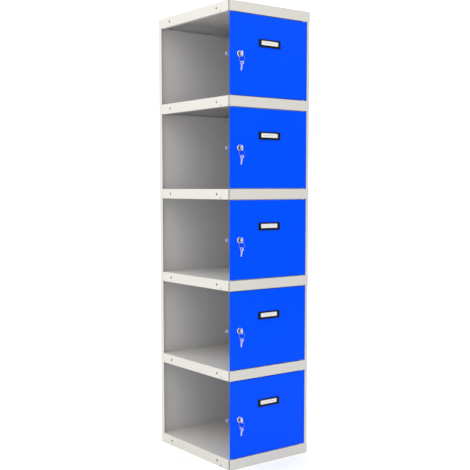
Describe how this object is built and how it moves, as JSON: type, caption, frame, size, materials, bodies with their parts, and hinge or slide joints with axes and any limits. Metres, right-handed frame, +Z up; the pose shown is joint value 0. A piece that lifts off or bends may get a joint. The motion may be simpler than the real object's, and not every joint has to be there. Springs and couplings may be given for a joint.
{
  "type": "coin operated locker",
  "caption": "Tiered sheet steel locker add-on bay with blue key-locked doors, grey folded trays, open left side, label holders, cam locks, keys and rings.",
  "frame": {"origin": "on the floor, under the middle of the bay's bounding box, keys included", "axes": "+Z up; -Y is the door side; +X is the side with the side panel and the hinges"},
  "size_m": [0.4062, 0.528, 1.8],
  "materials": {
    "grey_paint": "satin light warm grey powder coat",
    "blue_paint": "semi-gloss vivid blue powder coat",
    "chrome": "polished",
    "black_nickel": "black nickel plated",
    "zinc_steel": "bright zinc plated",
    "nickel_key": "nickel plated, tumbled",
    "black_plastic": "fine grained moulding",
    "white_nylon": "natural nylon",
    "white_card": "plain card"
  },
  "bodies": {
    "cabinet": {"base": "grey_paint", "shelf_1": "grey_paint", "shelf_2": "grey_paint", "shelf_3": "grey_paint", "shelf_4": "grey_paint", "roof": "grey_paint", "side_panel": "grey_paint", "back_panel": "grey_paint", "assembly_bolts": "zinc_steel", "hinge_bushes": "white_nylon"},
    "door_leaf_1": {"door_1": "blue_paint", "hinge_pins_1": "zinc_steel", "label_holder_1": "black_plastic", "label_card_1": "white_card", "lock_body_1": "chrome"},
    "lock_core_1": {"lock_plug_1": "black_nickel", "lock_cam_1": "zinc_steel"},
    "key_in_lock_1": {"key_1": "nickel_key"},
    "key_bunch_1": {"key_ring_1": "nickel_key", "spare_key_1": "nickel_key"},
    "door_leaf_2": {"door_2": "blue_paint", "hinge_pins_2": "zinc_steel", "label_holder_2": "black_plastic", "label_card_2": "white_card", "lock_body_2": "chrome"},
    "lock_core_2": {"lock_plug_2": "black_nickel", "lock_cam_2": "zinc_steel"},
    "key_in_lock_2": {"key_2": "nickel_key"},
    "key_bunch_2": {"key_ring_2": "nickel_key", "spare_key_2": "nickel_key"},
    "door_leaf_3": {"door_3": "blue_paint", "hinge_pins_3": "zinc_steel", "label_holder_3": "black_plastic", "label_card_3": "white_card", "lock_body_3": "chrome"},
    "lock_core_3": {"lock_plug_3": "black_nickel", "lock_cam_3": "zinc_steel"},
    "key_in_lock_3": {"key_3": "nickel_key"},
    "key_bunch_3": {"key_ring_3": "nickel_key", "spare_key_3": "nickel_key"},
    "door_leaf_4": {"door_4": "blue_paint", "hinge_pins_4": "zinc_steel", "label_holder_4": "black_plastic", "label_card_4": "white_card", "lock_body_4": "chrome"},
    "lock_core_4": {"lock_plug_4": "black_nickel", "lock_cam_4": "zinc_steel"},
    "key_in_lock_4": {"key_4": "nickel_key"},
    "key_bunch_4": {"key_ring_4": "nickel_key", "spare_key_4": "nickel_key"},
    "door_leaf_5": {"door_5": "blue_paint", "hinge_pins_5": "zinc_steel", "label_holder_5": "black_plastic", "label_card_5": "white_card", "lock_body_5": "chrome"},
    "lock_core_5": {"lock_plug_5": "black_nickel", "lock_cam_5": "zinc_steel"},
    "key_in_lock_5": {"key_5": "nickel_key"},
    "key_bunch_5": {"key_ring_5": "nickel_key", "spare_key_5": "nickel_key"}
  },
  "joints": [
    {"name": "door_hinge_1", "type": "hinge", "parent": "cabinet", "child": "door_leaf_1", "pos_m": [0.171, -0.23235, 0.196], "axis": [0, 0, 1], "range_deg": [0, 110]},
    {"name": "lock_turn_1", "type": "hinge", "parent": "door_leaf_1", "child": "lock_core_1", "pos_m": [-0.153, -0.23935, 0.196], "axis": [0, 1, 0], "range_deg": [0, 90]},
    {"name": "key_pull_1", "type": "slide", "parent": "lock_core_1", "child": "key_in_lock_1", "axis": [0, -1, 0], "range_m": [0, 0.03]},
    {"name": "ring_hang_1", "type": "hinge", "parent": "key_in_lock_1", "child": "key_bunch_1", "pos_m": [-0.153, -0.25465, 0.18675], "axis": [0, 1, 0], "range_deg": [-90, 0]},
    {"name": "door_hinge_2", "type": "hinge", "parent": "cabinet", "child": "door_leaf_2", "pos_m": [0.171, -0.23235, 0.548], "axis": [0, 0, 1], "range_deg": [0, 110]},
    {"name": "lock_turn_2", "type": "hinge", "parent": "door_leaf_2", "child": "lock_core_2", "pos_m": [-0.153, -0.23935, 0.548], "axis": [0, 1, 0], "range_deg": [0, 90]},
    {"name": "key_pull_2", "type": "slide", "parent": "lock_core_2", "child": "key_in_lock_2", "axis": [0, -1, 0], "range_m": [0, 0.03]},
    {"name": "ring_hang_2", "type": "hinge", "parent": "key_in_lock_2", "child": "key_bunch_2", "pos_m": [-0.153, -0.25465, 0.53875], "axis": [0, 1, 0], "range_deg": [-90, 0]},
    {"name": "door_hinge_3", "type": "hinge", "parent": "cabinet", "child": "door_leaf_3", "pos_m": [0.171, -0.23235, 0.9], "axis": [0, 0, 1], "range_deg": [0, 110]},
    {"name": "lock_turn_3", "type": "hinge", "parent": "door_leaf_3", "child": "lock_core_3", "pos_m": [-0.153, -0.23935, 0.9], "axis": [0, 1, 0], "range_deg": [0, 90]},
    {"name": "key_pull_3", "type": "slide", "parent": "lock_core_3", "child": "key_in_lock_3", "axis": [0, -1, 0], "range_m": [0, 0.03]},
    {"name": "ring_hang_3", "type": "hinge", "parent": "key_in_lock_3", "child": "key_bunch_3", "pos_m": [-0.153, -0.25465, 0.89075], "axis": [0, 1, 0], "range_deg": [-90, 0]},
    {"name": "door_hinge_4", "type": "hinge", "parent": "cabinet", "child": "door_leaf_4", "pos_m": [0.171, -0.23235, 1.252], "axis": [0, 0, 1], "range_deg": [0, 110]},
    {"name": "lock_turn_4", "type": "hinge", "parent": "door_leaf_4", "child": "lock_core_4", "pos_m": [-0.153, -0.23935, 1.252], "axis": [0, 1, 0], "range_deg": [0, 90]},
    {"name": "key_pull_4", "type": "slide", "parent": "lock_core_4", "child": "key_in_lock_4", "axis": [0, -1, 0], "range_m": [0, 0.03]},
    {"name": "ring_hang_4", "type": "hinge", "parent": "key_in_lock_4", "child": "key_bunch_4", "pos_m": [-0.153, -0.25465, 1.24275], "axis": [0, 1, 0], "range_deg": [-90, 0]},
    {"name": "door_hinge_5", "type": "hinge", "parent": "cabinet", "child": "door_leaf_5", "pos_m": [0.171, -0.23235, 1.604], "axis": [0, 0, 1], "range_deg": [0, 110]},
    {"name": "lock_turn_5", "type": "hinge", "parent": "door_leaf_5", "child": "lock_core_5", "pos_m": [-0.153, -0.23935, 1.604], "axis": [0, 1, 0], "range_deg": [0, 90]},
    {"name": "key_pull_5", "type": "slide", "parent": "lock_core_5", "child": "key_in_lock_5", "axis": [0, -1, 0], "range_m": [0, 0.03]},
    {"name": "ring_hang_5", "type": "hinge", "parent": "key_in_lock_5", "child": "key_bunch_5", "pos_m": [-0.153, -0.25465, 1.59475], "axis": [0, 1, 0], "range_deg": [-90, 0]}
  ],
  "couplings": [
    {"joint": "ring_hang_1", "follows": "lock_turn_1", "ratio": -1},
    {"joint": "ring_hang_2", "follows": "lock_turn_2", "ratio": -1},
    {"joint": "ring_hang_3", "follows": "lock_turn_3", "ratio": -1},
    {"joint": "ring_hang_4", "follows": "lock_turn_4", "ratio": -1},
    {"joint": "ring_hang_5", "follows": "lock_turn_5", "ratio": -1}
  ]
}
